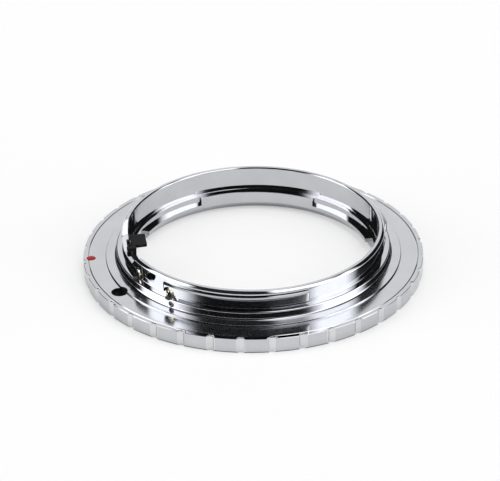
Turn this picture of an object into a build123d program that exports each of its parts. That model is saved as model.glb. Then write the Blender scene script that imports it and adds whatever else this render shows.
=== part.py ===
"""Lens mount adapter: a one-piece ring with a camera bayonet on top and a lens bayonet below.

Millimetres, +Z towards the camera, origin at the bottom centre. Azimuths are in degrees from the front
(-Y), positive towards +X.
"""

import os

from build123d import *

# Rim and flange
FLANGE_WIDTH = 4.4
RIM_HEIGHT = 3.0
RIM_EDGE = 0.3
BEVEL_WIDTH = 1.0
BEVEL_DROP = 0.12
LINE_WIDTH = 0.2
LINE_DEPTH = 0.1
GRIP_COUNT = 36
GRIP_AZIMUTH = -4.4
GRIP_RADIUS = 0.9
GRIP_DEPTH = 0.36

# Camera side: land, register, neck and lugs
REGISTER_RADIUS = 27.0
LAND_WIDTH = 2.1
LAND_RISE = 0.3
REGISTER_HEIGHT = 1.65
REGISTER_FOOT = 0.3
REGISTER_EDGE = 0.3
LEDGE_WIDTH = 1.14
NECK_HEIGHT = 3.72
WALL = 1.26
MOUTH_EDGE = 0.45
LUG_CLEARANCE = 0.4
LUG_DROP = 1.2
LUG_HEIGHT = 1.68
LUG_EDGE = 0.15
LUG_CORNER = 0.7
LUG_AZIMUTHS = ((-41.2, 24.0), (94.0, 158.0), (196.0, 235.0))
LOCK_HOLE_RADIUS = 1.6
LOCK_HOLE_DEPTH = 2.4
LOCK_HOLE_INSET = 0.95
LOCK_HOLE_AZIMUTH = -59.3
VENT_RADIUS = 0.62
VENT_DEPTH = 1.5
VENT_RISE = 0.74
VENT_AZIMUTH = -35.6

# Lens side: seat, lips, groove and entry gaps
SEAT_WIDTH = 0.4
SEAT_DEPTH = 1.45
SEAT_EDGE = 0.2
LIP_THICKNESS = 0.8
LIP_REACH = 0.8
GROOVE_HEIGHT = 1.65
SHELF_WIDTH = 0.8
GROOVE_AZIMUTHS = (-153.0, 148.0)
GROOVE_CORNER = 0.6
GAP_AZIMUTHS = ((-115.0, -75.0), (-35.0, 10.0), (60.0, 104.0))

# Lock spring: strip with a lower waist, tab, ear and tongue
SPRING_THICKNESS = 0.55
SPRING_WIDTH = 2.1
SPRING_SEAT_GAP = 0.05
SPRING_SET = 0.4
SPRING_CORNER = 0.6
CLAMP_AZIMUTHS = (-62.0, -33.5)
FREE_AZIMUTHS = (-90.0, -67.0)
TAB_THICKNESS = 0.6
TAB_DROP = 1.05
TAB_REACH = 2.4
TAB_AZIMUTHS = (-88.0, -77.0)
TAB_CORNER = 0.9
EAR_REACH = 1.2
EAR_AZIMUTHS = (-77.0, -74.5)
EAR_CORNER = 0.35
WAIST_DROP = 1.0
TONGUE_LENGTH = 2.4
TONGUE_AZIMUTHS = (-83.0, -77.0)

# Room for the spring's travel, and the cut-out in the wall above it
TRAVEL_ROOM = 0.9
TONGUE_ROOM = 0.4
POCKET_ROOM = 0.35
POCKET_AZIMUTHS = (-96.0, -66.0)
CUTOUT_AZIMUTH = -70.0
CUTOUT_SILL_ROOM = 0.27
CUTOUT_SILL_ENDS = (-3.3, 2.15)
CUTOUT_MOUTH_ENDS = (-6.2, 4.1)
RAMP_LENGTH = 5.4
RAMP_DROP = 0.34

# Screws through the wall
SCREW_AZIMUTHS = {"notch": -58.8, "lug": -37.6}
HEAD_RADIUS = 0.95
HEAD_HEIGHT = 0.55
HEAD_TAPER = 12.0
HEAD_ROOM = 0.35
HEAD_SINK = 0.35
SHANK_RADIUS = 0.6
SHANK_ROOM = 0.05
SHANK_PROUD = 0.15
CROSS_LENGTH = 1.2
CROSS_WIDTH = 0.28
CROSS_DEPTH = 0.3

# Index dot
DOT_RADIUS = 0.9
DOT_INSET = 1.5
DOT_DEPTH = 0.25
DOT_PROUD = 0.08
DOT_ROOM = 0.02
DOT_AZIMUTH = -86.4

LAND_RADIUS = REGISTER_RADIUS + LAND_WIDTH
RIM_RADIUS = LAND_RADIUS + FLANGE_WIDTH
NECK_RADIUS = REGISTER_RADIUS - LEDGE_WIDTH
BORE_RADIUS = NECK_RADIUS - WALL
SEAT_RADIUS = BORE_RADIUS - SEAT_WIDTH
GROOVE_RADIUS = BORE_RADIUS - SHELF_WIDTH
LAND_TOP = RIM_HEIGHT + LAND_RISE
LEDGE_TOP = LAND_TOP + REGISTER_HEIGHT
MOUTH_TOP = LEDGE_TOP + NECK_HEIGHT
LIP_RADIUS = GROOVE_RADIUS - LIP_REACH
LIP_TOP = SEAT_DEPTH + LIP_THICKNESS
SHELF_TOP = LIP_TOP + GROOVE_HEIGHT
LUG_RADIUS = REGISTER_RADIUS - LUG_CLEARANCE
LUG_TOP = MOUTH_TOP - LUG_DROP
LUG_BOTTOM = LUG_TOP - LUG_HEIGHT

TAB_TOP = MOUTH_TOP - TAB_DROP
STRIP_TOP = TAB_TOP - TAB_THICKNESS
STRIP_BOTTOM = STRIP_TOP - SPRING_WIDTH
TONGUE_BOTTOM = STRIP_BOTTOM - TONGUE_LENGTH
CLAMP_OUTER = BORE_RADIUS - SPRING_SEAT_GAP
CLAMP_INNER = CLAMP_OUTER - SPRING_THICKNESS
FREE_OUTER = CLAMP_OUTER - SPRING_SET
FREE_INNER = FREE_OUTER - SPRING_THICKNESS
SCREW_HEIGHT = STRIP_BOTTOM + SPRING_WIDTH / 2
HEAD_SEAT = NECK_RADIUS - HEAD_SINK
OVERCUT = 3.0


def outward(azimuth):
    """Unit vector that points out from the axis at an azimuth."""
    return Vector(0, -1, 0).rotate(Axis.Z, azimuth)


def facing_plane(azimuth, radius, height):
    """Plane that faces outward at an azimuth: local x runs round the ring, local y runs up."""
    origin = outward(azimuth) * radius + Vector(0, 0, height)
    return Plane(origin, x_dir=outward(azimuth + 90), z_dir=outward(azimuth))


def arc(radius, azimuths):
    """Draw an arc about the axis, between two azimuths, in the current line."""
    return CenterArc((0, 0), radius, azimuths[0] - 90, azimuths[1] - azimuths[0])


def sector(inner, outer, azimuths):
    """Draw the face of a ring sector in the current sketch."""
    with BuildLine() as outline:
        near = arc(inner, azimuths)
        far = arc(outer, azimuths)
        Line(near @ 0, far @ 0)
        Line(near @ 1, far @ 1)
    make_face(outline.edges())


def corners(sketch, radius):
    """Corners of a sketch that lie at a radius from the axis."""
    return sketch.vertices().filter_by(lambda corner: abs(Vector(*corner).length - radius) < 1e-4)


def screw_body(azimuth):
    """Add one cross-head screw, seated on its flat in the neck, to the current part."""
    seat = facing_plane(azimuth, HEAD_SEAT, SCREW_HEIGHT)
    with BuildSketch(seat) as head:
        Circle(HEAD_RADIUS)
    extrude(head.sketch, amount=HEAD_HEIGHT, taper=HEAD_TAPER)
    with BuildSketch(seat) as shank:
        Circle(SHANK_RADIUS)
    extrude(shank.sketch, amount=-(HEAD_SEAT - CLAMP_INNER + SHANK_PROUD))
    with BuildSketch(seat.offset(HEAD_HEIGHT)) as cross:
        Rectangle(CROSS_LENGTH, CROSS_WIDTH)
        Rectangle(CROSS_WIDTH, CROSS_LENGTH)
    extrude(cross.sketch, amount=-CROSS_DEPTH, mode=Mode.SUBTRACT)


os.makedirs("parts", exist_ok=True)

with BuildPart() as adapter_ring:
    with BuildSketch(Plane.XZ) as profile:
        with BuildLine():
            Polyline(
                (SEAT_RADIUS + SEAT_EDGE, 0),
                (RIM_RADIUS - RIM_EDGE, 0),
                (RIM_RADIUS, RIM_EDGE),
                (RIM_RADIUS, RIM_HEIGHT - BEVEL_DROP),
                (RIM_RADIUS - BEVEL_WIDTH + LINE_WIDTH / 2, RIM_HEIGHT),
                (RIM_RADIUS - BEVEL_WIDTH, RIM_HEIGHT - LINE_DEPTH),
                (RIM_RADIUS - BEVEL_WIDTH - LINE_WIDTH / 2, RIM_HEIGHT),
                (LAND_RADIUS, RIM_HEIGHT),
                (LAND_RADIUS, LAND_TOP),
                (REGISTER_RADIUS, LAND_TOP),
                (REGISTER_RADIUS, LEDGE_TOP - REGISTER_EDGE),
                (REGISTER_RADIUS - REGISTER_EDGE, LEDGE_TOP),
                (NECK_RADIUS, LEDGE_TOP),
                (NECK_RADIUS, MOUTH_TOP - MOUTH_EDGE),
                (NECK_RADIUS - MOUTH_EDGE, MOUTH_TOP),
                (BORE_RADIUS, MOUTH_TOP),
                (BORE_RADIUS, SHELF_TOP),
                (LIP_RADIUS, SHELF_TOP),
                (LIP_RADIUS, SEAT_DEPTH),
                (SEAT_RADIUS, SEAT_DEPTH),
                (SEAT_RADIUS, SEAT_EDGE),
                close=True,
            )
        make_face()
        register_base = profile.vertices().sort_by_distance((REGISTER_RADIUS, LAND_TOP))[0]
        chamfer(register_base, length=REGISTER_FOOT)
    revolve(axis=Axis.Z)

    # Camera bayonet lugs
    for start, end in LUG_AZIMUTHS:
        with BuildSketch(Plane.XY.offset(LUG_BOTTOM)) as lug:
            sector(NECK_RADIUS - WALL / 2, LUG_RADIUS, (start, end))
            fillet(corners(lug, LUG_RADIUS), radius=LUG_CORNER)
        extrude(amount=LUG_HEIGHT)
    lug_rims = adapter_ring.edges().filter_by(GeomType.CIRCLE).filter_by(
        lambda rim: abs(rim.radius - LUG_RADIUS) < 1e-4 or abs(rim.radius - LUG_CORNER) < 1e-4
    )
    chamfer(lug_rims, length=LUG_EDGE)

    # Lens bayonet: one groove above the lips, and the gaps that the lens enters by
    with BuildSketch(Plane.XY.offset(LIP_TOP)) as groove:
        sector(LIP_RADIUS - OVERCUT, GROOVE_RADIUS, GROOVE_AZIMUTHS)
        fillet(corners(groove, GROOVE_RADIUS), radius=GROOVE_CORNER)
    extrude(amount=GROOVE_HEIGHT, mode=Mode.SUBTRACT)
    with BuildSketch(Plane.XY.offset(SEAT_DEPTH)):
        for gap in GAP_AZIMUTHS:
            sector(LIP_RADIUS - OVERCUT, GROOVE_RADIUS, gap)
    extrude(amount=LIP_THICKNESS, mode=Mode.SUBTRACT)

    # Pocket for the spring's travel, cut-out for its ear, and the ramp beside the cut-out
    with BuildSketch(Plane.XY.offset(TONGUE_BOTTOM - TONGUE_ROOM)):
        sector(LIP_RADIUS - OVERCUT, FREE_OUTER + TRAVEL_ROOM, POCKET_AZIMUTHS)
    extrude(amount=TAB_TOP + POCKET_ROOM - TONGUE_BOTTOM + TONGUE_ROOM, mode=Mode.SUBTRACT)
    with BuildSketch(facing_plane(CUTOUT_AZIMUTH, BORE_RADIUS - OVERCUT, 0)):
        with BuildLine():
            Polyline(
                (CUTOUT_SILL_ENDS[0], STRIP_TOP - CUTOUT_SILL_ROOM),
                (CUTOUT_SILL_ENDS[1], STRIP_TOP - CUTOUT_SILL_ROOM),
                (CUTOUT_MOUTH_ENDS[1], MOUTH_TOP),
                (CUTOUT_MOUTH_ENDS[1], MOUTH_TOP + OVERCUT),
                (CUTOUT_MOUTH_ENDS[0], MOUTH_TOP + OVERCUT),
                (CUTOUT_MOUTH_ENDS[0], MOUTH_TOP),
                close=True,
            )
        make_face()
    extrude(amount=WALL + 2 * OVERCUT, mode=Mode.SUBTRACT)
    with BuildSketch(facing_plane(CUTOUT_AZIMUTH, BORE_RADIUS - OVERCUT - WALL, 0)):
        with BuildLine():
            Polyline(
                (CUTOUT_MOUTH_ENDS[0], MOUTH_TOP - RAMP_DROP),
                (CUTOUT_MOUTH_ENDS[0], MOUTH_TOP),
                (CUTOUT_MOUTH_ENDS[0] - RAMP_LENGTH, MOUTH_TOP),
                close=True,
            )
        make_face()
    extrude(amount=2 * WALL + 2 * OVERCUT, mode=Mode.SUBTRACT)

    # Screw seats and holes through the wall, and the small radial hole in the register
    for azimuth in SCREW_AZIMUTHS.values():
        with BuildSketch(facing_plane(azimuth, HEAD_SEAT, SCREW_HEIGHT)):
            Circle(HEAD_RADIUS + HEAD_ROOM)
        extrude(amount=OVERCUT, mode=Mode.SUBTRACT)
        with BuildSketch(facing_plane(azimuth, HEAD_SEAT, SCREW_HEIGHT)):
            Circle(SHANK_RADIUS + SHANK_ROOM)
        extrude(amount=-WALL - OVERCUT, mode=Mode.SUBTRACT)
    with BuildSketch(facing_plane(VENT_AZIMUTH, REGISTER_RADIUS, LAND_TOP + VENT_RISE)):
        Circle(VENT_RADIUS)
    extrude(amount=-VENT_DEPTH, mode=Mode.SUBTRACT)

    # Lock-pin hole, index recess and grip notches
    with Locations(outward(LOCK_HOLE_AZIMUTH) * (LAND_RADIUS + LOCK_HOLE_INSET) + Vector(0, 0, LAND_TOP)):
        Hole(LOCK_HOLE_RADIUS, depth=LOCK_HOLE_DEPTH)
    with Locations(outward(DOT_AZIMUTH) * (RIM_RADIUS - DOT_INSET) + Vector(0, 0, RIM_HEIGHT)):
        Hole(DOT_RADIUS, depth=DOT_DEPTH)
    with PolarLocations(RIM_RADIUS + GRIP_RADIUS - GRIP_DEPTH, GRIP_COUNT, start_angle=GRIP_AZIMUTH - 90):
        Cylinder(
            GRIP_RADIUS,
            RIM_HEIGHT,
            align=(Align.CENTER, Align.CENTER, Align.MIN),
            mode=Mode.SUBTRACT,
        )
adapter_ring.part.label = "adapter_ring"
export_step(adapter_ring.part, "parts/adapter_ring.step")

with BuildPart() as lock_spring:
    with BuildSketch(Plane.XY.offset(STRIP_BOTTOM)):
        with BuildLine():
            clamp_back = arc(CLAMP_OUTER, CLAMP_AZIMUTHS)
            clamp_face = arc(CLAMP_INNER, CLAMP_AZIMUTHS)
            free_back = arc(FREE_OUTER, FREE_AZIMUTHS)
            free_face = arc(FREE_INNER, FREE_AZIMUTHS)
            Line(free_back @ 1, clamp_back @ 0)
            Line(free_face @ 1, clamp_face @ 0)
            Line(free_back @ 0, free_face @ 0)
            Line(clamp_back @ 1, clamp_face @ 1)
        make_face()
    extrude(amount=SPRING_WIDTH)
    clamp_middle = CLAMP_OUTER - SPRING_THICKNESS / 2
    clamp_end = outward(CLAMP_AZIMUTHS[1]) * clamp_middle + Vector(0, 0, SCREW_HEIGHT)
    end_edges = lock_spring.edges().filter_by(Plane.XY).sort_by_distance(clamp_end)[:2]
    fillet(end_edges, radius=SPRING_CORNER)
    with BuildSketch(Plane.XY.offset(STRIP_TOP - WAIST_DROP)):
        sector(FREE_INNER - OVERCUT, CLAMP_OUTER + OVERCUT, (EAR_AZIMUTHS[1], CLAMP_AZIMUTHS[0]))
    extrude(amount=WAIST_DROP, mode=Mode.SUBTRACT)

    with BuildSketch(Plane.XY.offset(STRIP_TOP)) as tab:
        sector(FREE_INNER - TAB_REACH, FREE_OUTER, TAB_AZIMUTHS)
        fillet(corners(tab, FREE_INNER - TAB_REACH), radius=TAB_CORNER)
    extrude(amount=TAB_THICKNESS)
    with BuildSketch(Plane.XY.offset(STRIP_TOP)) as ear:
        sector(FREE_INNER, FREE_OUTER + EAR_REACH, EAR_AZIMUTHS)
        fillet(corners(ear, FREE_OUTER + EAR_REACH), radius=EAR_CORNER)
    extrude(amount=TAB_THICKNESS)
    with BuildSketch(Plane.XY.offset(TONGUE_BOTTOM)):
        sector(FREE_INNER, FREE_OUTER, TONGUE_AZIMUTHS)
    extrude(amount=TONGUE_LENGTH)

    for azimuth in SCREW_AZIMUTHS.values():
        with BuildSketch(facing_plane(azimuth, CLAMP_OUTER, SCREW_HEIGHT)):
            Circle(SHANK_RADIUS + SHANK_ROOM)
        extrude(amount=SPRING_THICKNESS + OVERCUT, both=True, mode=Mode.SUBTRACT)
lock_spring.part.label = "lock_spring"
export_step(lock_spring.part, "parts/lock_spring.step")

with BuildPart() as notch_screw:
    screw_body(SCREW_AZIMUTHS["notch"])
notch_screw.part.label = "notch_screw"
export_step(notch_screw.part, "parts/notch_screw.step")

with BuildPart() as lug_screw:
    screw_body(SCREW_AZIMUTHS["lug"])
lug_screw.part.label = "lug_screw"
export_step(lug_screw.part, "parts/lug_screw.step")

with BuildPart() as index_dot:
    with Locations(outward(DOT_AZIMUTH) * (RIM_RADIUS - DOT_INSET) + Vector(0, 0, RIM_HEIGHT - DOT_DEPTH)):
        Cylinder(
            DOT_RADIUS - DOT_ROOM,
            DOT_DEPTH + DOT_PROUD,
            align=(Align.CENTER, Align.CENTER, Align.MIN),
        )
    chamfer(index_dot.edges().group_by(Axis.Z)[-1], length=DOT_PROUD)
index_dot.part.label = "index_dot"
export_step(index_dot.part, "parts/index_dot.step")
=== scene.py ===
"""Looks of a chromed lens mount adapter: turned ring, lock spring, screws, index dot and a white studio."""

import logging
import math
from dataclasses import dataclass, replace
from enum import Enum
from typing import Iterable, Sequence

import bmesh
import bpy
from bmesh.types import BMEdge, BMesh, BMFace, BMVert
from bpy.types import Material, Mesh, Node, NodeSocket, Object
from mathutils import Matrix, Vector


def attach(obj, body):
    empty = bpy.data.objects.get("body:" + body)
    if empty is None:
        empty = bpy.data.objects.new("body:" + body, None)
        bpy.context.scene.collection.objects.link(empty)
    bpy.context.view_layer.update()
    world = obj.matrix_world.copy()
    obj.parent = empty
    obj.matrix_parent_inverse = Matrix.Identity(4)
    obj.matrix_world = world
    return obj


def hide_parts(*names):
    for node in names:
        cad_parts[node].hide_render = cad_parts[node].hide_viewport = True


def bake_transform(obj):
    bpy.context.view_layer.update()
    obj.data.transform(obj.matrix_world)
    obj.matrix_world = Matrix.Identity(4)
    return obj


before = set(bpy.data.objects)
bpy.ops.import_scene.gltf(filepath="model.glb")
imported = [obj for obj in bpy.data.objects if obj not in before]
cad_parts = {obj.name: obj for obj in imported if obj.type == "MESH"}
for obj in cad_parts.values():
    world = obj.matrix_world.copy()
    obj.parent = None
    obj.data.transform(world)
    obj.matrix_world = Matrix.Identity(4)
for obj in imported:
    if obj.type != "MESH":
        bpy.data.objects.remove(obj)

Pair = tuple[float, float]
Triple = tuple[float, float, float]

LOG = logging.getLogger("lens_mount_adapter")
MILLIMETRE = 0.001
UP = Vector((0.0, 0.0, 1.0))
AXIS = Vector()

# Lengths are in millimetres until a piece is finished, azimuths in degrees from the front.
WELD = 5e-4
TOUCH = 0.01
NEAR = 0.05
OVERRUN = 1.0
NOTCH_SCREW = -58.8
LUG_SCREW = -37.6
SCREW_HEIGHT = 5.97
SCREW_SEAT = 25.51
SCREW_HOLE = 0.65
DOT_AZIMUTH = -86.4
DOT_REACH = 32.0
FLANGE_TOP = 3.0


class Carve(Enum):
    """What a boolean does with its tools."""

    JOIN = "UNION"
    CUT = "DIFFERENCE"


class Body(Enum):
    """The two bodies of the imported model."""

    RING = "ring"
    LEVER = "lever"


class RingSlot(Enum):
    """Where the ring's further materials stand in its list: painted highlight on the notches, painted shade
    in the holes and on the foot edge, and the satin flange.
    """

    NOTCH = 1
    HOLE = 2
    FLANGE = 3


@dataclass(frozen=True)
class Corner:
    """One corner of a turned profile, in millimetres."""

    radius: float
    height: float
    rounding: float = 0.0


def outward(azimuth: float) -> Vector:
    """Point out from the axis at an azimuth: degrees from the front (-Y), positive towards +X."""
    angle = math.radians(azimuth)
    return Vector((math.sin(angle), -math.cos(angle), 0.0))


def azimuth_of(point: Vector) -> float:
    """Read a point's azimuth, from -180 to 180."""
    return math.degrees(math.atan2(point.x, -point.y))


def facing(azimuth: float, radius: float, height: float, turn: float = 0.0) -> Matrix:
    """Make a frame whose z runs outward, x round the ring and y up.

    Args:
        azimuth: Where the frame stands, in degrees.
        radius: Distance of its origin from the axis.
        height: Height of its origin.
        turn: Degrees that it is turned about its own z.

    Returns:
        The 4 by 4 matrix of the frame.
    """
    out, round_ring = outward(azimuth), outward(azimuth + 90.0)
    turned = Matrix((round_ring, UP, out)).transposed().to_4x4()
    place = Matrix.Translation(out * radius + UP * height)
    return place @ turned @ Matrix.Rotation(math.radians(turn), 4, "Z")


def oblong(radii: Pair, heights: Pair, rounding: float = 0.0) -> list[Corner]:
    """List the corners of an upright rectangle.

    Args:
        radii: Its inner and outer radius.
        heights: Its lower and upper height.
        rounding: Rounding of its two outer corners.

    Returns:
        The corners in order.
    """
    (inner, outer), (low, high) = radii, heights
    return [
        Corner(inner, low),
        Corner(outer, low, rounding),
        Corner(outer, high, rounding),
        Corner(inner, high),
    ]


def only_verts(geom: Iterable) -> list[BMVert]:
    """Keep the vertices of what an operator gives back."""
    return [item for item in geom if isinstance(item, BMVert)]


def grow(bm: BMesh, faces: list[BMFace]) -> list[BMVert]:
    """Extrude faces and give back the vertices of the new ones."""
    return only_verts(bmesh.ops.extrude_face_region(bm, geom=faces)["geom"])


def upright_edges(bm: BMesh, reach: float, azimuths: Sequence[float]) -> list[BMEdge]:
    """Pick upright edges by place.

    Args:
        bm: The bmesh.
        reach: Their distance from the axis.
        azimuths: Azimuths at which they stand.

    Returns:
        The edges.
    """
    return [
        edge
        for edge in bm.edges
        if all(abs(v.co.xy.length - reach) < NEAR for v in edge.verts)
        and abs(edge.verts[0].co.z - edge.verts[1].co.z) > 0.3
        and min(abs(azimuth_of(edge.verts[0].co) - a) for a in azimuths) < 0.2
    ]


def soften(bm: BMesh, geom: list, offset: float, segments: int, flat: bool = False) -> None:
    """Round some edges of a bmesh, or some corners of a flat outline.

    Args:
        bm: The bmesh.
        geom: The edges, or the corners' vertices.
        offset: Size of the round.
        segments: Segments across it.
        flat: True for the corners of a flat outline.
    """
    bmesh.ops.bevel(
        bm,
        geom=geom,
        offset=offset,
        offset_type="OFFSET",
        segments=segments,
        profile=0.5,
        affect="VERTICES" if flat else "EDGES",
        material=-1,
        clamp_overlap=not flat,
    )


def spin(bm: BMesh, geom: list, angle: float, steps: int, centre: Vector = AXIS) -> list:
    """Sweep geometry about an upright axis, and merge the ends of a full turn.

    Args:
        bm: The bmesh.
        geom: What to sweep.
        angle: Degrees to go, positive towards larger azimuths.
        steps: Steps to take.
        centre: A point on the axis.

    Returns:
        The geometry at the end of the sweep.
    """
    swept = bmesh.ops.spin(
        bm,
        geom=geom,
        cent=centre,
        axis=UP,
        angle=math.radians(angle),
        steps=steps,
        use_merge=angle == 360.0,
    )
    return swept["geom_last"]


def face_out(bm: BMesh) -> BMesh:
    """Turn every face of a bmesh outward and give the bmesh back."""
    bmesh.ops.recalc_face_normals(bm, faces=bm.faces[:])
    return bm


def profile_face(bm: BMesh, corners: Sequence[Corner], azimuth: float, segments: int) -> None:
    """Draw a profile as one face in the plane through the axis, with its corners rounded.

    Args:
        bm: An empty bmesh.
        corners: The profile's corners in order.
        azimuth: Azimuth of the plane.
        segments: Segments in each rounded corner.
    """
    verts = [bm.verts.new(outward(azimuth) * c.radius + UP * c.height) for c in corners]
    bm.faces.new(verts)
    for vert, corner in zip(verts, corners):
        if corner.rounding > 0.0:
            soften(bm, [vert], corner.rounding, segments, flat=True)


def lathe(corners: Sequence[Corner], steps: int, segments: int = 4) -> BMesh:
    """Turn a profile through a full circle.

    Args:
        corners: The profile's corners in order.
        steps: Steps round the axis.
        segments: Segments in each rounded corner.

    Returns:
        A closed bmesh.
    """
    bm = bmesh.new()
    profile_face(bm, corners, 0.0, segments)
    bmesh.ops.delete(bm, geom=bm.faces[:], context="FACES_ONLY")
    spin(bm, bm.verts[:] + bm.edges[:], 360.0, steps)
    bmesh.ops.remove_doubles(bm, verts=bm.verts[:], dist=1e-4)
    return face_out(bm)


def sector(corners: Sequence[Corner], start: float, end: float) -> BMesh:
    """Turn a profile through part of a circle and close both ends.

    Args:
        corners: The profile's corners in order.
        start: Azimuth of the first end.
        end: Azimuth of the second end.

    Returns:
        A closed bmesh.
    """
    bm = bmesh.new()
    profile_face(bm, corners, start, segments=4)
    geom = bm.verts[:] + bm.edges[:] + bm.faces[:]
    spin(bm, geom, end - start, max(4, round(abs(end - start))))
    return face_out(bm)


@dataclass
class Pen:
    """Draws an outline by pulling one vertex along lines and arcs."""

    bm: BMesh
    tip: BMVert

    def line(self, way: Vector) -> None:
        """Pull the tip straight along a vector."""
        self.tip = bmesh.ops.extrude_vert_indiv(self.bm, verts=[self.tip])["verts"][0]
        self.tip.co += way

    def arc(self, centre: Vector, angle: float, steps: int) -> None:
        """Swing the tip about an upright axis through a centre, by degrees towards larger azimuths."""
        self.tip = only_verts(spin(self.bm, [self.tip], angle, steps, centre))[0]


def plate(radii: Pair, span: Pair, heights: Pair, corner: float) -> BMesh:
    """Make a flat sector whose two outer corners are rounded in plan.

    Args:
        radii: Inner and outer radius.
        span: Azimuths of its ends, the smaller first.
        heights: Heights of its faces, the lower first.
        corner: Radius of the rounded corners.

    Returns:
        A closed bmesh.
    """
    (inner, outer), (start, end) = radii, span
    lean = math.degrees(math.asin(corner / (outer - corner)))
    straight = (outer - corner) * math.cos(math.radians(lean)) - inner
    bm = bmesh.new()
    pen = Pen(bm, bm.verts.new(outward(start) * inner + UP * heights[0]))
    pen.line(outward(start) * straight)
    pen.arc(outward(start + lean) * (outer - corner), 90.0 + lean, steps=10)
    pen.arc(AXIS, end - start - 2.0 * lean, round(end - start))
    pen.arc(outward(end - lean) * (outer - corner), 90.0 + lean, steps=10)
    pen.line(outward(end) * -straight)
    pen.arc(AXIS, start - end, round(end - start))
    bmesh.ops.remove_doubles(bm, verts=bm.verts[:], dist=1e-4)
    face = bmesh.ops.edgeloop_fill(bm, edges=bm.edges[:])["faces"][0]
    bmesh.ops.translate(bm, verts=grow(bm, [face]), vec=UP * (heights[1] - heights[0]))
    return face_out(bm)


def rod(
    place: Matrix,
    radius: float,
    start: float,
    end: float,
    sides: int = 40,
    bm: BMesh | None = None,
) -> BMesh:
    """Make a round bar along the z of a frame.

    Args:
        place: The frame.
        radius: The bar's radius.
        start: Where the bar starts along z.
        end: Where it ends.
        sides: Sides of the bar.
        bm: A bmesh to put it in, or None for a new one.

    Returns:
        A closed bmesh.
    """
    bm = bmesh.new() if bm is None else bm
    bmesh.ops.create_cone(
        bm,
        cap_ends=True,
        segments=sides,
        radius1=radius,
        radius2=radius,
        depth=end - start,
        matrix=place @ Matrix.Translation(UP * (start + end) / 2.0),
    )
    return bm


def prism(place: Matrix, outline: Iterable[Pair], depth: float) -> BMesh:
    """Extrude an outline along the z of a frame.

    Args:
        place: The frame.
        outline: Points in the frame's x and y.
        depth: Length of the extrusion.

    Returns:
        A closed bmesh.
    """
    bm = bmesh.new()
    face = bm.faces.new([bm.verts.new(place @ Vector((x, y, 0.0))) for x, y in outline])
    bmesh.ops.translate(bm, verts=grow(bm, [face]), vec=place.to_3x3() @ (UP * depth))
    return face_out(bm)


def to_mesh(bm: BMesh, name: str) -> Mesh:
    """Write a bmesh to a new mesh and free it.

    Args:
        bm: The bmesh.
        name: The mesh's name.

    Returns:
        The mesh.
    """
    mesh = bpy.data.meshes.new(name)
    bm.to_mesh(mesh)
    bm.free()
    return mesh


def from_mesh(mesh: Mesh) -> BMesh:
    """Read a mesh into a new bmesh and remove it.

    Args:
        mesh: The mesh.

    Returns:
        The bmesh, its doubles merged.
    """
    bm = bmesh.new()
    bm.from_mesh(mesh)
    bpy.data.meshes.remove(mesh)
    bmesh.ops.remove_doubles(bm, verts=bm.verts[:], dist=WELD)
    return bm


def carve(blank: Mesh, tools: Sequence[BMesh], how: Carve) -> Mesh:
    """Join tools to a mesh or cut them out of it.

    Args:
        blank: The mesh to work on.
        tools: Closed bmeshes, freed here.
        how: Join or cut.

    Returns:
        A new mesh.
    """
    scene = bpy.context.scene
    work = bpy.data.objects.new("work", blank)
    scene.collection.objects.link(work)
    rack = bpy.data.collections.new("rack")
    scene.collection.children.link(rack)
    held = [bpy.data.objects.new(f"tool_{i}", to_mesh(bm, f"tool_{i}")) for i, bm in enumerate(tools)]
    for tool in held:
        rack.objects.link(tool)
    boolean = work.modifiers.new("carve", "BOOLEAN")
    boolean.solver = "EXACT"
    boolean.operation = how.value
    boolean.operand_type = "COLLECTION"
    boolean.collection = rack
    bpy.context.view_layer.update()
    mesh = bpy.data.meshes.new_from_object(work.evaluated_get(bpy.context.evaluated_depsgraph_get()))
    mesh.name = blank.name
    for thing in (work, *held):
        data = thing.data
        bpy.data.objects.remove(thing)
        bpy.data.meshes.remove(data)
    bpy.data.collections.remove(rack)
    return mesh


def piece(mesh: Mesh, name: str, finish: Material, crease: float = 28.0) -> Object:
    """Make a finished object of a mesh in millimetres: metres, even shading and one finish.

    Args:
        mesh: The mesh, in millimetres, removed here.
        name: The object's name.
        finish: Its material.
        crease: Edges that turn by more than this many degrees stay sharp.

    Returns:
        The object, at the origin.
    """
    bm = from_mesh(mesh)
    bmesh.ops.dissolve_degenerate(bm, dist=WELD, edges=bm.edges[:])
    bmesh.ops.scale(bm, vec=(MILLIMETRE,) * 3, verts=bm.verts[:])
    for face in bm.faces:
        face.smooth = True
        face.material_index = 0
    for edge in bm.edges:
        edge.smooth = edge.is_manifold and edge.calc_face_angle(0.0) < math.radians(crease)
    thing = bpy.data.objects.new(name, to_mesh(bm, name))
    thing.data.materials.append(finish)
    bpy.context.scene.collection.objects.link(thing)
    even = thing.modifiers.new("even_normals", "WEIGHTED_NORMAL")
    even.mode = "FACE_AREA"
    even.weight = 60
    even.keep_sharp = True
    return thing


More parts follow.
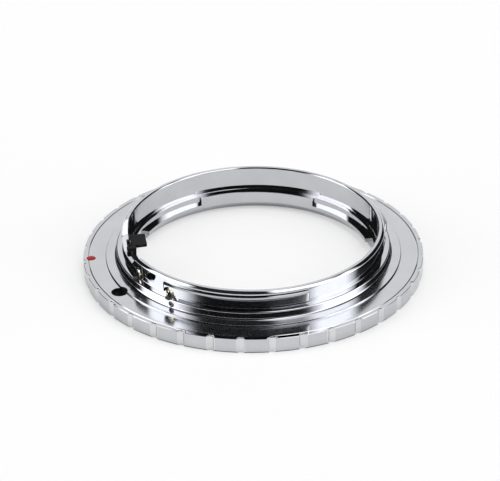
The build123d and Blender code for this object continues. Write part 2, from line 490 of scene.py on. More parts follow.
@dataclass(frozen=True)
class NodeTree:
    """Shorthand for one node tree."""

    tree: bpy.types.NodeTree

    def feed(self, node: Node, inputs: dict[str | int, object]) -> None:
        """Set a node's inputs, and link those that are given a socket.

        Args:
            node: The node.
            inputs: Values or sockets, by the input's name or number.
        """
        for key, value in inputs.items():
            if isinstance(value, NodeSocket):
                self.tree.links.new(value, node.inputs[key])
            else:
                node.inputs[key].default_value = value

    def add(self, kind: str, inputs: dict[str | int, object] | None = None, **settings: object) -> Node:
        """Add a node.

        Args:
            kind: The node's type.
            inputs: Values or sockets for its inputs.
            settings: Attributes to set on it first.

        Returns:
            The node.
        """
        node = self.tree.nodes.new(kind)
        for key, value in settings.items():
            setattr(node, key, value)
        self.feed(node, inputs or {})
        return node

    def math(self, operation: str, first: NodeSocket, second: object = 0.0) -> NodeSocket:
        """Add a Math node, its second input a socket or a number, and give back its output."""
        return self.add("ShaderNodeMath", {0: first, 1: second}, operation=operation).outputs[0]

    def rise(self, value: NodeSocket, low: float, high: float) -> NodeSocket:
        """Add a soft step, 0 at the low value and 1 at the high one, and give back its output."""
        inputs = {"Value": value, "From Min": low, "From Max": high}
        return self.add("ShaderNodeMapRange", inputs, interpolation_type="SMOOTHSTEP").outputs["Result"]

    def mix(self, factor: NodeSocket, first: NodeSocket, second: object) -> NodeSocket:
        """Add a colour Mix.

        Args:
            factor: How much of the second.
            first: The first colour.
            second: The second colour, a socket or a grey value.

        Returns:
            Its output.
        """
        if isinstance(second, float):
            second = (second, second, second, 1.0)
        inputs = {"Factor": factor, "A": first, "B": second}
        return self.add("ShaderNodeMix", inputs, data_type="RGBA").outputs["Result"]

    def ramp(self, factor: NodeSocket, stops: Sequence[tuple[float, Sequence[float]]]) -> NodeSocket:
        """Add a Color Ramp.

        Args:
            factor: What it reads.
            stops: Positions and colours.

        Returns:
            Its colour output.
        """
        node = self.add("ShaderNodeValToRGB", {"Fac": factor})
        elements = node.color_ramp.elements
        while len(elements) < len(stops):
            elements.new(1.0)
        for element, (position, colour) in zip(elements, stops):
            element.position = position
            element.color = (*colour, 1.0)
        return node.outputs["Color"]

    def bump(self, height: NodeSocket, strength: float, depth: float) -> NodeSocket:
        """Add a Bump of a height, its depth in metres, and give back the normal."""
        inputs = {"Height": height, "Strength": strength, "Distance": depth}
        return self.add("ShaderNodeBump", inputs).outputs["Normal"]


def new_material(name: str) -> tuple[Material, NodeTree, Node]:
    """Start a material.

    Args:
        name: Its name.

    Returns:
        The material, its node tree and its shader.
    """
    material = bpy.data.materials.new(name)
    material.use_nodes = True
    return material, NodeTree(material.node_tree), material.node_tree.nodes["Principled BSDF"]


@dataclass(frozen=True)
class MetalFinish:
    """A surface with fine turning marks and slightly uneven polish."""

    name: str
    light: Triple
    dark: Triple
    rough: Pair
    mark_depth: float
    mark_scale: float = 12000.0
    metallic: float = 1.0
    specular: float = 0.5
    cloud_scale: float = 220.0

    def build(self) -> Material:
        """Make the material.

        Returns:
            The material.
        """
        material, nodes, shader = new_material(self.name)
        place = nodes.add("ShaderNodeTexCoord").outputs["Object"]
        inputs = {"Vector": place, "Scale": self.cloud_scale, "Detail": 4.0}
        cloud = nodes.add("ShaderNodeTexNoise", inputs).outputs["Fac"]
        low, high = self.rough
        inputs = {"Value": cloud, "From Min": 0.3, "From Max": 0.7, "To Min": low, "To Max": high}
        polish = nodes.add("ShaderNodeMapRange", inputs)

        flat = nodes.add("ShaderNodeVectorMath", {0: place, 1: (1.0, 1.0, 0.0)}, operation="MULTIPLY")
        reach = nodes.add("ShaderNodeVectorMath", {0: flat.outputs["Vector"]}, operation="LENGTH")
        split = nodes.add("ShaderNodeSeparateXYZ", {0: place})
        travel = nodes.math("ADD", reach.outputs["Value"], split.outputs["Z"])
        marks = nodes.add("ShaderNodeTexNoise", noise_dimensions="1D")
        nodes.feed(marks, {"W": travel, "Scale": self.mark_scale, "Detail": 2.0})
        nodes.feed(
            shader,
            {
                "Base Color": nodes.ramp(cloud, [(0.35, self.dark), (0.65, self.light)]),
                "Metallic": self.metallic,
                "Roughness": polish.outputs["Result"],
                "Specular IOR Level": self.specular,
                "Normal": nodes.bump(marks.outputs["Fac"], 1.0, self.mark_depth),
            },
        )
        return material


@dataclass(frozen=True)
class PaintFinish:
    """Index paint with a little unevenness from the brush."""

    name: str
    light: Triple
    dark: Triple
    rough: float = 0.36
    specular: float = 0.2
    brush_scale: float = 1500.0
    brush_depth: float = 0.00002

    def build(self) -> Material:
        """Make the material.

        Returns:
            The material.
        """
        material, nodes, shader = new_material(self.name)
        place = nodes.add("ShaderNodeTexCoord").outputs["Object"]
        inputs = {"Vector": place, "Scale": self.brush_scale, "Detail": 3.0}
        brush = nodes.add("ShaderNodeTexNoise", inputs).outputs["Fac"]
        nodes.feed(
            shader,
            {
                "Base Color": nodes.ramp(brush, [(0.35, self.dark), (0.65, self.light)]),
                "Roughness": self.rough,
                "Specular IOR Level": self.specular,
                "Normal": nodes.bump(brush, 0.5, self.brush_depth),
            },
        )
        return material


CHROME = MetalFinish(
    name="chrome_plate",
    light=(0.575, 0.585, 0.610),
    dark=(0.545, 0.555, 0.580),
    rough=(0.035, 0.06),
    mark_depth=1.2e-7,
    mark_scale=9000.0,
)
SATIN = replace(CHROME, name="satin_flange", rough=(0.14, 0.18))
# Painted highlight: a paler metal colour on the grip notches' walls, so they read lighter than the rim.
NOTCH_HIGHLIGHT = replace(
    CHROME,
    name="painted_highlight_notches",
    light=(0.70, 0.71, 0.72),
    dark=(0.64, 0.65, 0.66),
    rough=(0.12, 0.20),
    mark_depth=4e-7,
)
# Painted shade: a dark metal colour laid in the lock-pin hole and screw recesses and on the foot edge,
# where shade falls.
HOLE_SHADE = MetalFinish(
    name="painted_shade_holes_foot",
    light=(0.22, 0.225, 0.235),
    dark=(0.16, 0.165, 0.175),
    rough=(0.30, 0.42),
    mark_depth=6e-7,
)
BLACKENED = MetalFinish(
    name="blackened_strip",
    light=(0.016, 0.016, 0.017),
    dark=(0.010, 0.010, 0.011),
    rough=(0.40, 0.52),
    mark_depth=1.5e-6,
    mark_scale=14000.0,
    metallic=0.0,
    specular=0.05,
)
BRASS = MetalFinish(
    name="screw_brass",
    light=(0.76, 0.70, 0.58),
    dark=(0.64, 0.58, 0.46),
    rough=(0.10, 0.18),
    mark_depth=1e-6,
)
INDEX_RED = PaintFinish("index_red", (0.40, 0.006, 0.008), (0.31, 0.004, 0.006))


@dataclass
class SpringScrew:
    """A small cross-head screw that goes through the wall into the lock spring."""

    name: str
    azimuth: float
    turn: float
    height: float = SCREW_HEIGHT
    seat: float = SCREW_SEAT
    head_radius: float = 0.95
    head_height: float = 0.55
    head_edge: float = 0.05
    shank_radius: float = 0.6
    shank_length: float = 1.66
    shank_edge: float = 0.12
    cross_length: float = 1.4
    cross_width: float = 0.3
    cross_depth: float = 0.4
    dome: tuple[Triple, ...] = ((0.55, 0.03, 0.1), (0.86, 0.14, 0.1), (1.0, 0.34, 0.12))

    def build(self, finish: Material) -> Object:
        """Turn the head and shank, cut the cross and set the screw in its seat.

        Args:
            finish: The screw's material.

        Returns:
            The screw.
        """
        top, rim, shank = self.head_height, self.head_radius, self.shank_radius
        turned = lathe(
            [
                Corner(0.0, top),
                *(Corner(rim * share, top - fall, rounding) for share, fall, rounding in self.dome),
                Corner(rim, 0.0, self.head_edge),
                Corner(shank, 0.0),
                Corner(shank, -self.shank_length, self.shank_edge),
                Corner(0.0, -self.shank_length),
            ],
            steps=40,
            segments=3,
        )
        long, wide = self.cross_length / 2, self.cross_width / 2
        floor = Matrix.Translation(UP * (top - self.cross_depth))
        bars = [
            prism(floor, [(-x, -y), (x, -y), (x, y), (-x, y)], self.cross_depth + OVERRUN / 2.0)
            for x, y in ((long, wide), (wide, long))
        ]
        mesh = carve(to_mesh(turned, self.name), bars, Carve.CUT)
        mesh.transform(facing(self.azimuth, self.seat, self.height, self.turn))
        screw = piece(mesh, f"{self.name}_dressed", finish)
        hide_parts(self.name)
        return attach(screw, Body.RING.value)


@dataclass
class IndexDot:
    """The painted dot that shows where the camera's mark goes."""

    azimuth: float = DOT_AZIMUTH
    radius: float = 0.88
    reach: float = DOT_REACH
    flange: float = FLANGE_TOP
    depth: float = 0.24
    proud: float = 0.08

    def build(self, finish: Material) -> Object:
        """Turn the drop of paint and set it in its recess.

        Args:
            finish: The paint.

        Returns:
            The dot.
        """
        turned = lathe(
            [
                Corner(0.0, self.proud),
                Corner(self.radius * 0.6, self.proud * 0.85, 0.1),
                Corner(self.radius, self.proud * 0.1, 0.06),
                Corner(self.radius, -self.depth),
                Corner(0.0, -self.depth),
            ],
            steps=48,
            segments=3,
        )
        place = outward(self.azimuth) * self.reach + UP * self.flange
        bmesh.ops.translate(turned, verts=turned.verts[:], vec=place)
        dot = piece(to_mesh(turned, "index_dot"), "index_dot_dressed", finish, crease=50.0)
        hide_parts("index_dot")
        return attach(dot, Body.RING.value)


@dataclass
class LockSpring:
    """The blackened strip on the inner wall, with its release tab, ear and lock tongue."""

    clamp_outer: float = 24.55
    thickness: float = 0.55
    bottom: float = 4.92
    top: float = 7.02
    inset: float = 0.4
    clamp: Pair = (-33.5, -62.0)
    free: Pair = (-67.0, -90.0)
    bend_steps: int = 8
    tab: Pair = (-88.0, -77.0)
    tab_thickness: float = 0.6
    tab_radius: float = 21.2
    tab_corner: float = 0.9
    ear: Pair = (-77.0, -74.5)
    ear_radius: float = 25.35
    ear_corner: float = 0.35
    waist_top: float = 6.02
    tongue: Pair = (-83.0, -77.0)
    tongue_bottom: float = 2.52
    edge: float = 0.09
    screw_azimuths: tuple[float, ...] = (NOTCH_SCREW, LUG_SCREW)
    screw_height: float = SCREW_HEIGHT
    hole_radius: float = SCREW_HOLE

    @property
    def free_outer(self) -> float:
        """Outer radius of the free part."""
        return self.clamp_outer - self.inset

    @property
    def free_inner(self) -> float:
        """Inner radius of the free part."""
        return self.free_outer - self.thickness

    def build(self, finish: Material) -> Object:
        """Bend the strip, raise its tab, ear and tongue, and pierce it.

        Args:
            finish: The strip's material.

        Returns:
            The spring.
        """
        bm = self._strip()
        self._raise_edge(bm)
        self._drop_tongue(bm)
        face_out(bm)
        bm = from_mesh(carve(to_mesh(bm, "lock_spring"), [self._waist()], Carve.CUT))
        sharp = [e for e in bm.edges if e.calc_face_angle(0.0) > math.radians(40.0)]
        soften(bm, sharp, self.edge, segments=2)
        places = [facing(azimuth, self.clamp_outer, self.screw_height) for azimuth in self.screw_azimuths]
        drills = [rod(place, self.hole_radius, start=-2.0, end=2.0) for place in places]
        mesh = carve(to_mesh(bm, "lock_spring"), drills, Carve.CUT)
        spring = piece(mesh, "lock_spring_dressed", finish, crease=35.0)
        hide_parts("lock_spring")
        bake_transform(spring)
        return spring

    def _strip(self) -> BMesh:
        """Sweep the strip's section round the clamp, through the bend and along the free part.

        Returns:
            The strip, closed at both ends.
        """
        bm = bmesh.new()
        radii = (self.clamp_outer - self.thickness, self.clamp_outer)
        profile_face(bm, oblong(radii, (self.bottom, self.top)), self.clamp[0], segments=1)
        geom = bm.verts[:] + bm.edges[:] + bm.faces[:]
        geom = self._swing(bm, geom, self.clamp[1] - self.clamp[0])
        steps, bend = self.bend_steps, self.free[0] - self.clamp[1]
        eased = [3.0 * t * t - 2.0 * t**3 for t in (i / steps for i in range(steps + 1))]
        for i in range(steps):
            geom = self._swing(bm, geom, bend / steps)
            inward = outward(self.clamp[1] + bend * (i + 1) / steps) * -self.inset
            bmesh.ops.translate(bm, verts=only_verts(geom), vec=inward * (eased[i + 1] - eased[i]))
        at = self.free[0]
        for stop in (*reversed(self.ear), self.tongue[0], self.tab[0], self.free[1]):
            geom = self._swing(bm, geom, stop - at)
            at = stop
        return face_out(bm)

    @staticmethod
    def _swing(bm: BMesh, geom: list, angle: float) -> list:
        """Sweep the end of the strip further round, a step a degree, and give back its new end."""
        return spin(bm, geom, angle, max(1, round(abs(angle))))

    @staticmethod
    def _grow_at(bm: BMesh, span: Pair, height: float, out: float, up: float) -> list[BMVert]:
        """Extrude the faces that lie at one height and look one way.

        Args:
            bm: The strip.
            span: Azimuths between which their centres lie.
            height: Height of their centres.
            out: Outward part of the way they look.
            up: Upward part of it.

        Returns:
            The vertices of the extruded faces.
        """
        bm.normal_update()
        found = []
        for face in bm.faces:
            centre = face.calc_center_median()
            azimuth = azimuth_of(centre)
            looks = face.normal.dot(outward(azimuth) * out + UP * up) > 0.8
            if looks and span[0] < azimuth < span[1] and abs(centre.z - height) < TOUCH:
                found.append(face)
        return grow(bm, found)

    def _fold(self, bm: BMesh, span: Pair, out: float, reach: float) -> list[BMEdge]:
        """Fold part of the turned-up edge inward or outward.

        Args:
            bm: The strip.
            span: Azimuths of its ends.
            out: 1 to fold it outward, -1 inward.
            reach: Radius that it reaches.

        Returns:
            The upright edges at its corners.
        """
        verts = self._grow_at(bm, span, self.top + self.tab_thickness / 2.0, out, 0.0)
        stretch = reach / (self.free_outer if out > 0.0 else self.free_inner)
        bmesh.ops.scale(bm, vec=(stretch, stretch, 1.0), verts=verts)
        return upright_edges(bm, reach, span)

    def _raise_edge(self, bm: BMesh) -> None:
        """Turn up the strip's edge, and fold it inward as the release tab and outward as the ear.

        Args:
            bm: The strip.
        """
        verts = self._grow_at(bm, (self.tab[0], self.ear[1]), self.top, 0.0, 1.0)
        bmesh.ops.translate(bm, verts=verts, vec=UP * self.tab_thickness)
        soften(bm, self._fold(bm, self.tab, -1.0, self.tab_radius), self.tab_corner, segments=7)
        soften(bm, self._fold(bm, self.ear, 1.0, self.ear_radius), self.ear_corner, segments=4)

    def _drop_tongue(self, bm: BMesh) -> None:
        """Draw the lock tongue down from the strip's lower edge."""
        verts = self._grow_at(bm, self.tongue, self.bottom, 0.0, -1.0)
        bmesh.ops.translate(bm, verts=verts, vec=UP * (self.tongue_bottom - self.bottom))

    def _waist(self) -> BMesh:
        """Make the tool that lowers the strip between the clamp and the ear."""
        radii = (self.free_inner - OVERRUN, self.clamp_outer + OVERRUN)
        return sector(oblong(radii, (self.waist_top, self.top + OVERRUN)), self.ear[1], self.clamp[1])


@dataclass
class AdapterRing:
    """The turned and milled ring: rim, flange, register, neck, lugs, lips and all its cuts."""

    rim: float = 33.5
    rim_height: float = FLANGE_TOP
    rim_edge: float = 0.06
    foot_height: float = 0.26
    foot_depth: float = 0.13
    strip_width: float = 1.0
    line_width: float = 0.2
    line_depth: float = 0.1
    land: float = 29.1
    land_top: float = 3.3
    register: float = 27.0
    register_foot: float = 0.4
    register_edge: float = 0.28
    ledge_top: float = 4.95
    neck: float = 25.86
    mouth_top: float = 8.67
    mouth_edge: float = 0.45
    mouth_break: float = 0.2
    neck_undercut: float = 0.14
    bore: float = 24.6
    shelf_top: float = 3.9
    groove: float = 23.8
    lip: float = 23.0
    lip_top: float = 2.25
    seat: float = 24.2
    seat_depth: float = 1.45
    lug: float = 26.6
    lug_heights: Pair = (5.79, 7.67)
    lug_fall: float = 0.2
    lugs: tuple[Pair, ...] = ((-41.2, 24.0), (94.0, 158.0), (196.0, 235.0))
    lug_corner: float = 0.7
    lug_edge: float = 0.1
    lug_draft: float = 0.08
    groove_span: Pair = (-153.0, 148.0)
    groove_end: float = 0.6
    gaps: tuple[Pair, ...] = ((-115.0, -75.0), (-35.0, 10.0), (60.0, 104.0))
    pocket: float = 25.05
    pocket_heights: Pair = (2.12, 7.97)
    pocket_span: Pair = (-96.0, -66.0)
    cutout_azimuth: float = -70.0
    cutout_sill: float = 6.75
    cutout_sill_ends: Pair = (-3.3, 2.15)
    cutout_mouth_ends: Pair = (-6.2, 4.1)
    ramp_length: float = 5.4
    ramp_drop: float = 0.34
    screw_azimuths: tuple[float, ...] = (NOTCH_SCREW, LUG_SCREW)
    screw_height: float = SCREW_HEIGHT
    screw_seat: float = SCREW_SEAT
    screw_recess: float = 1.3
    pin_azimuth: float = -59.3
    pin_reach: float = 30.05
    pin_radius: float = 1.6
    pin_depth: float = 2.4
    vent_azimuth: float = -35.6
    vent_radius: float = 0.62
    vent_height: float = 4.04
    vent_depth: float = 1.5
    dot_recess: float = 0.9
    dot_depth: float = 0.25
    grips: int = 36
    grip_azimuth: float = -4.4
    grip_radius: float = 0.9
    grip_depth: float = 0.36
    grip_edge: float = 0.1
    steps: int = 480

    @property
    def inside(self) -> float:
        """Radius at which the cutters for the bore start."""
        return self.lip - 4.0

    def build(self, plating: Material, further: Sequence[Material]) -> Object:
        """Turn the ring, join its lugs and make every cut.

        Args:
            plating: The finish of the whole ring.
            further: The notches' painted highlight, the painted shade of the holes and foot edge, and the
                flange's finish, as RingSlot has them.

        Returns:
            The ring.
        """
        mesh = carve(to_mesh(self._blank(), "adapter_ring"), self._lugs(), Carve.JOIN)
        cuts = [self._lug_slope(), *self._bayonet(), *self._cutout(), *self._holes(), self._grips()]
        mesh = carve(mesh, cuts, Carve.CUT)
        ring = piece(self._break_grips(mesh), "adapter_ring_dressed", plating)
        for finish in further:
            ring.data.materials.append(finish)
        self._dress_cuts(ring)
        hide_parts("adapter_ring")
        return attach(ring, Body.RING.value)

    def _blank(self) -> BMesh:
        """Turn the ring's profile, with its edges broken as on the real one.

        Returns:
            The turned blank.
        """
        line = self.rim - self.strip_width
        half = self.line_width / 2.0
        return lathe(
            [
                Corner(self.seat, 0.0, 0.2),
                Corner(self.rim - self.foot_depth, 0.0),
                Corner(self.rim, self.foot_height),
                Corner(self.rim, self.rim_height - self.rim_edge),
                Corner(self.rim - self.rim_edge, self.rim_height),
                Corner(line + half, self.rim_height),
                Corner(line, self.rim_height - self.line_depth),
                Corner(line - half, self.rim_height),
                Corner(self.land, self.rim_height, 0.04),
                Corner(self.land, self.land_top, 0.08),
                Corner(self.register, self.land_top, self.register_foot),
                Corner(self.register, self.ledge_top, self.register_edge),
                Corner(self.neck - self.neck_undercut, self.ledge_top, 0.12),
                Corner(self.neck, self.mouth_top - self.mouth_edge, 0.1),
                Corner(self.neck - self.mouth_edge, self.mouth_top, 0.1),
                Corner(self.bore + self.mouth_break, self.mouth_top, 0.05),
                Corner(self.bore, self.mouth_top - self.mouth_break, 0.05),
                Corner(self.bore, self.shelf_top, 0.1),
                Corner(self.lip, self.shelf_top, 0.1),
                Corner(self.lip, self.seat_depth, 0.08),
                Corner(self.seat, self.seat_depth, 0.05),
            ],
            steps=self.steps,
            segments=5,
        )

    def _lugs(self) -> list[BMesh]:
        """Make the camera-side lugs with broken edges.

        Returns:
            One closed bmesh per lug.
        """
        low = self.lug_heights[0]
        root = (self.neck + self.bore) / 2.0
        lugs = []
        for span in self.lugs:
            bm = plate((root, self.lug), span, self.lug_heights, self.lug_corner)
            foot = [v for v in bm.verts if v.co.z < low + TOUCH]
            taper = 1.0 - self.lug_draft / self.lug
            bmesh.ops.scale(bm, vec=(taper, taper, 1.0), verts=foot)
            rims = [
                edge
                for edge in bm.edges
                if max(v.co.z for v in edge.verts) < low + TOUCH
                and edge.calc_face_angle(0.0) > math.radians(40.0)
                and min(v.co.xy.length for v in edge.verts) > root + 0.1
            ]
            soften(bm, rims, self.lug_edge, segments=3)
            lugs.append(bm)
        return lugs

    def _lug_top(self, radius: float) -> float:
        """Height of the lugs' sloping top at a radius."""
        return self.lug_heights[1] - self.lug_fall * (radius - self.neck) / (self.lug - self.neck)

    def _lug_slope(self) -> BMesh:
        """Make the turning tool that slopes the lugs' tops outward.

        Returns:
            The tool.
        """
        inner, outer = self.neck + 0.02, self.lug + OVERRUN
        over = self.mouth_top + OVERRUN
        return lathe(
            [
                Corner(inner, self._lug_top(inner)),
                Corner(outer, self._lug_top(outer)),
                Corner(outer, over),
                Corner(inner, over),
            ],
            self.steps,
        )

    def _bayonet(self) -> list[BMesh]:
        """Make the tools for the lens side: the groove above the lips and the gaps between them.

        Returns:
            The tools.
        """
        heights = (self.lip_top, self.shelf_top + 0.4)
        groove = sector(oblong((self.inside, self.groove), heights), *self.groove_span)
        soften(groove, upright_edges(groove, self.groove, self.groove_span), self.groove_end, segments=6)
        heights = (self.seat_depth - 0.5, self.lip_top + 0.2)
        profile = oblong((self.inside, self.groove - TOUCH), heights)
        return [groove, *(sector(profile, *span) for span in self.gaps)]

    def _cutout(self) -> list[BMesh]:
        """Make the tools for the spring: its pocket, the cut-out in the wall and the ramp beside it.

        Returns:
            The tools.
        """
        pocket = sector(oblong((self.inside, self.pocket), self.pocket_heights, 0.1), *self.pocket_span)
        sill, mouth = self.cutout_sill_ends, self.cutout_mouth_ends
        over = self.mouth_top + 2.0
        window = prism(
            facing(self.cutout_azimuth, self.bore - 3.0, 0.0),
            [
                (sill[0], self.cutout_sill),
                (sill[1], self.cutout_sill),
                (mouth[1], self.mouth_top),
                (mouth[1], over),
                (mouth[0], over),
                (mouth[0], self.mouth_top),
            ],
            depth=8.0,
        )
        ramp_start, ramp_end = mouth[0] + 0.1, mouth[0] - self.ramp_length
        ramp = prism(
            facing(self.cutout_azimuth, self.bore - 4.5, 0.0),
            [
                (ramp_start, self.mouth_top - self.ramp_drop),
                (ramp_start, over),
                (ramp_end, over),
                (ramp_end, self.mouth_top),
            ],
            depth=9.0,
        )
        return [pocket, window, ramp]

    def _holes(self) -> list[BMesh]:
        """Make the drills: screw seats, screw holes, lock-pin hole, radial hole and index recess.

        Returns:
            The tools.
        """
        tools = []
        for azimuth in self.screw_azimuths:
            place = facing(azimuth, self.screw_seat, self.screw_height)
            tools.append(rod(place, self.screw_recess, start=0.0, end=3.0))
            tools.append(rod(place, SCREW_HOLE, start=-3.0, end=0.5))
        vent = facing(self.vent_azimuth, self.register, self.vent_height)
        tools.append(rod(vent, self.vent_radius, -self.vent_depth, OVERRUN))
        lock = Matrix.Translation(outward(self.pin_azimuth) * self.pin_reach + UP * self.land_top)
        tools.append(rod(lock, self.pin_radius, -self.pin_depth, OVERRUN, sides=64))
        dot = Matrix.Translation(outward(DOT_AZIMUTH) * DOT_REACH + UP * self.rim_height)
        tools.append(rod(dot, self.dot_recess, -self.dot_depth, OVERRUN, sides=48))
        return tools

    def _grip_turn(self, index: int) -> float:
        """Azimuth of one grip notch."""
        return self.grip_azimuth + index * 360.0 / self.grips

    def _grip_centre(self, index: int) -> Vector:
        """Place the axis of one grip notch."""
        return outward(self._grip_turn(index)) * (self.rim + self.grip_radius - self.grip_depth)

    def _grips(self) -> BMesh:
        """Make the round cutters for the grip notches, all in one tool.

        Returns:
            The tool.
        """
        bm = bmesh.new()
        for index in range(self.grips):
            turn = Matrix.Rotation(math.radians(self._grip_turn(index)), 4, "Z")
            place = Matrix.Translation(self._grip_centre(index)) @ turn
            rod(place, self.grip_radius, start=-4.0, end=4.0, sides=24, bm=bm)
        return bm

    def _in_notch(self, point: Vector, margin: float) -> bool:
        """Tell whether a point lies on a grip notch.

        Args:
            point: The point, in millimetres.
            margin: How far outside the notch's radius still counts.

        Returns:
            True on a notch.
        """
        if point.xy.length < self.rim - self.grip_depth - NEAR:
            return False
        index = round((azimuth_of(point) - self.grip_azimuth) * self.grips / 360.0)
        return (point.xy - self._grip_centre(index).xy).length < self.grip_radius + margin

    def _break_grips(self, mesh: Mesh) -> Mesh:
        """Break the sharp edges of the grip notches.

        Args:
            mesh: The cut ring.

        Returns:
            The ring with these edges rounded.
        """
        bm = from_mesh(mesh)
        sharp = [e for e in bm.edges if e.calc_face_angle(0.0) > math.radians(30.0)]
        notched = [e for e in sharp if all(self._in_notch(v.co, 0.02) for v in e.verts)]
        soften(bm, notched, self.grip_edge, segments=2)
        return to_mesh(bm, "adapter_ring")

    def _dress_cuts(self, ring: Object) -> None:
        """Give the notches a painted highlight, the holes and foot edge painted shade and the flange its
        finish, from the ring's further slots.

        Args:
            ring: The ring.
        """
        strip, foot_end = self.rim - self.strip_width, self.register + self.register_foot
        pin = outward(self.pin_azimuth) * self.pin_reach
        seats = [facing(a, self.screw_seat, self.screw_height).inverted() for a in self.screw_azimuths]
        for face in ring.data.polygons:
            point, up = face.center / MILLIMETRE, face.normal.z
            reach = point.xy.length
            deep = point.z < self.rim_height - NEAR and (point - pin).xy.length < self.pin_radius + NEAR
            foot = point.z < self.foot_height and -0.9 < up < -0.1 and reach > self.rim - 0.5
            flange = point.z < self.land_top + TOUCH and foot_end < reach < strip
            # Painted shade in the lock-pin hole, the screw recesses and the foot edge's dark line.
            if deep or foot or any(self._in_seat(seat @ point) for seat in seats):
                face.material_index = RingSlot.HOLE.value
            # Painted highlight on the notch walls.
            elif abs(up) < 0.5 and self._in_notch(point, 0.12):
                face.material_index = RingSlot.NOTCH.value
            elif up > 0.95 and flange:
                face.material_index = RingSlot.FLANGE.value

    def _in_seat(self, point: Vector) -> bool:
        """Tell whether a point, given from a screw's seat, lies in its recess."""
        return point.xy.length < self.screw_recess + 2.0 * TOUCH and -TOUCH < point.z < 2.0


@dataclass(frozen=True)
class WallBand:
    """One band of the studio's walls: where it starts and how bright it is at each bearing."""

    rise: float
    stops: tuple[Pair, ...]

    def colour(self, nodes: NodeTree, turn: NodeSocket, full: float) -> NodeSocket:
        """Make the band's colour at a bearing, 0 and 1 at the back, as a share of full brightness."""
        return nodes.ramp(turn, [(a / 360.0 + 0.5, (v / full,) * 3) for a, v in self.stops])


BACK_LEFT = ((-180.0, 1.0), (-166.0, 1.0), (-161.0, 0.015))
BACK_RIGHT = ((161.0, 0.015), (166.0, 1.0), (180.0, 1.0))
LEFT_PANEL = ((-106.0, 0.015), (-102.0, 3.0), (-66.0, 3.0), (-50.0, 0.1), (-45.0, 0.012))
RIGHT_PANEL = ((38.0, 0.012), (44.0, 0.1), (58.0, 3.0), (90.0, 3.0), (99.0, 1.5), (105.0, 0.015))
LEFT_BOARD = ((-100.0, 0.03), (-94.0, 2.0), (-70.0, 2.0), (-62.0, 0.03))
RIGHT_BOARD = ((15.0, 0.03), (25.0, 2.0), (80.0, 2.0), (92.0, 0.05))


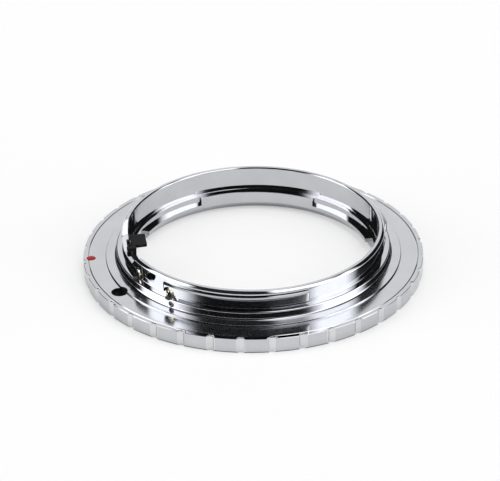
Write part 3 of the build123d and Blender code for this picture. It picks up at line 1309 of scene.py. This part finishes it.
@dataclass
class Studio:
    """White table, the room that the chrome mirrors, and the camera of the photograph."""

    distance: float = 0.5025
    elevation: float = 29.776
    roll: float = -0.815
    focal_pixels: float = 2536.5
    frame_width: float = 500.0
    centre_right: float = 3.51
    centre_down: float = 23.56
    table_size: float = 3.0
    table_drop: float = 0.00002
    table_white: float = 0.9
    table_glow: float = 0.4
    mirror_glow: float = 0.1
    sun_strength: float = 1.2
    sun_spread: float = 80.0
    full: float = 3.0
    bands: tuple[WallBand, ...] = (
        WallBand(-90.0, (*BACK_LEFT, *LEFT_PANEL, *RIGHT_PANEL, *BACK_RIGHT)),
        WallBand(41.0, ((-180.0, 0.03), *LEFT_BOARD, *RIGHT_BOARD, (180.0, 0.03))),
        WallBand(51.5, ((-150.0, 0.8), (-120.0, 0.03), *RIGHT_BOARD, (120.0, 0.03), (150.0, 0.8))),
    )
    band_blur: float = 0.8
    window_bearing: Pair = (172.0, 174.0)
    window_rise: tuple[float, ...] = (34.8, 35.6, 39.2, 40.0)
    window_value: float = 2.0

    def build(self) -> None:
        """Set the table, the lights and the camera."""
        self._table()
        self._room()
        self._sun()
        self._camera()
        bpy.context.scene.view_settings.view_transform = "Standard"

    def _table(self) -> None:
        """Lay a white table under the ring, which keeps the ring's soft shadow."""
        bm = bmesh.new()
        bmesh.ops.create_grid(bm, x_segments=4, y_segments=4, size=self.table_size / 2.0)
        bmesh.ops.translate(bm, verts=bm.verts[:], vec=UP * -self.table_drop)
        table = bpy.data.objects.new("table", to_mesh(bm, "table"))
        bpy.context.scene.collection.objects.link(table)
        material, nodes, shader = new_material("table_white")
        white = (self.table_white,) * 3 + (1.0,)
        nodes.feed(shader, {"Base Color": white, "Roughness": 1.0, "Specular IOR Level": 0.0})
        glow = nodes.add("ShaderNodeEmission").outputs["Emission"]
        inputs = {0: self._glow(nodes), 1: shader.outputs["BSDF"], 2: glow}
        blend = nodes.add("ShaderNodeMixShader", inputs)
        nodes.feed(material.node_tree.nodes["Material Output"], {"Surface": blend.outputs["Shader"]})
        table.data.materials.append(material)

    def _glow(self, nodes: NodeTree) -> NodeSocket:
        """Work out how much of the table's own white a ray sees, straight or in a mirror.

        Args:
            nodes: The tree to work in.

        Returns:
            A socket that is 0 for rays that only carry light.
        """
        path = nodes.add("ShaderNodeLightPath").outputs
        mirrored = nodes.math("MAXIMUM", path["Is Glossy Ray"], path["Is Transmission Ray"])
        straight = nodes.math("MULTIPLY", path["Is Camera Ray"], self.table_glow)
        return nodes.math("MAXIMUM", straight, nodes.math("MULTIPLY", mirrored, self.mirror_glow))

    def _room(self) -> None:
        """Light the room: pale back wall with a window, panels and boards at the sides, the rest dark."""
        world = bpy.data.worlds.new("studio_room")
        bpy.context.scene.world = world
        world.use_nodes = True
        nodes = NodeTree(world.node_tree)
        place = nodes.add("ShaderNodeTexCoord").outputs["Generated"]
        way = nodes.add("ShaderNodeSeparateXYZ", {0: place}).outputs
        bearing = nodes.math("ARCTAN2", way["X"], nodes.math("MULTIPLY", way["Y"], -1.0))
        turn = nodes.math("ADD", nodes.math("DIVIDE", bearing, 2.0 * math.pi), 0.5)
        height = way["Z"]
        room = self.bands[0].colour(nodes, turn, self.full)
        for band in self.bands[1:]:
            edges = [math.sin(math.radians(band.rise + side * self.band_blur)) for side in (-1.0, 1.0)]
            room = nodes.mix(nodes.rise(height, *edges), room, band.colour(nodes, turn, self.full))
        heights = [math.sin(math.radians(angle)) for angle in self.window_rise]
        aside = nodes.math("ABSOLUTE", bearing)
        between = nodes.rise(aside, *(math.radians(a) for a in self.window_bearing))
        above = nodes.rise(height, heights[0], heights[1])
        below = nodes.rise(height, heights[3], heights[2])
        pane = nodes.math("MULTIPLY", between, nodes.math("MULTIPLY", above, below))
        room = nodes.mix(pane, room, self.window_value / self.full)
        seen = nodes.add("ShaderNodeLightPath").outputs["Is Camera Ray"]
        room = nodes.mix(seen, room, 1.0 / self.full)
        nodes.feed(world.node_tree.nodes["Background"], {"Color": room, "Strength": self.full})

    def _sun(self) -> None:
        """Hang a wide soft light overhead, which the chrome doesn't mirror."""
        data = bpy.data.lights.new("overhead", "SUN")
        data.energy = self.sun_strength
        data.angle = math.radians(self.sun_spread)
        sun = bpy.data.objects.new("overhead", data)
        sun.visible_glossy = False
        bpy.context.scene.collection.objects.link(sun)

    def _camera(self) -> None:
        """Stand the camera where the photograph was taken from."""
        lift = math.radians(self.elevation)
        data = bpy.data.cameras.new("camera")
        data.sensor_width = 36.0
        data.lens = self.focal_pixels / self.frame_width * data.sensor_width
        data.shift_x = -self.centre_right / self.frame_width
        data.shift_y = self.centre_down / self.frame_width
        data.clip_start, data.clip_end = 0.01, 20.0
        camera = bpy.data.objects.new("camera", data)
        bpy.context.scene.collection.objects.link(camera)
        camera.location = Vector((0.0, -math.cos(lift), math.sin(lift))) * self.distance
        aim = (-camera.location).to_track_quat("-Z", "Y").to_matrix().to_4x4()
        camera.rotation_euler = (aim @ Matrix.Rotation(math.radians(self.roll), 4, "Z")).to_euler()
        bpy.context.scene.camera = camera


def main() -> None:
    """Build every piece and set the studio."""
    logging.basicConfig(level=logging.INFO, format="%(name)s: %(message)s")
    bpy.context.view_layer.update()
    brass = BRASS.build()
    made = [
        # The notches get a painted highlight; the holes and foot edge get painted shade.
        AdapterRing().build(CHROME.build(), [NOTCH_HIGHLIGHT.build(), HOLE_SHADE.build(), SATIN.build()]),
        LockSpring().build(BLACKENED.build()),
        SpringScrew("notch_screw", NOTCH_SCREW, turn=20.0).build(brass),
        SpringScrew("lug_screw", LUG_SCREW, turn=50.0).build(brass),
        IndexDot().build(INDEX_RED.build()),
    ]
    for thing in made:
        LOG.info("%s: %d faces", thing.name, len(thing.data.polygons))
    Studio().build()


if __name__ == "__main__":
    main()
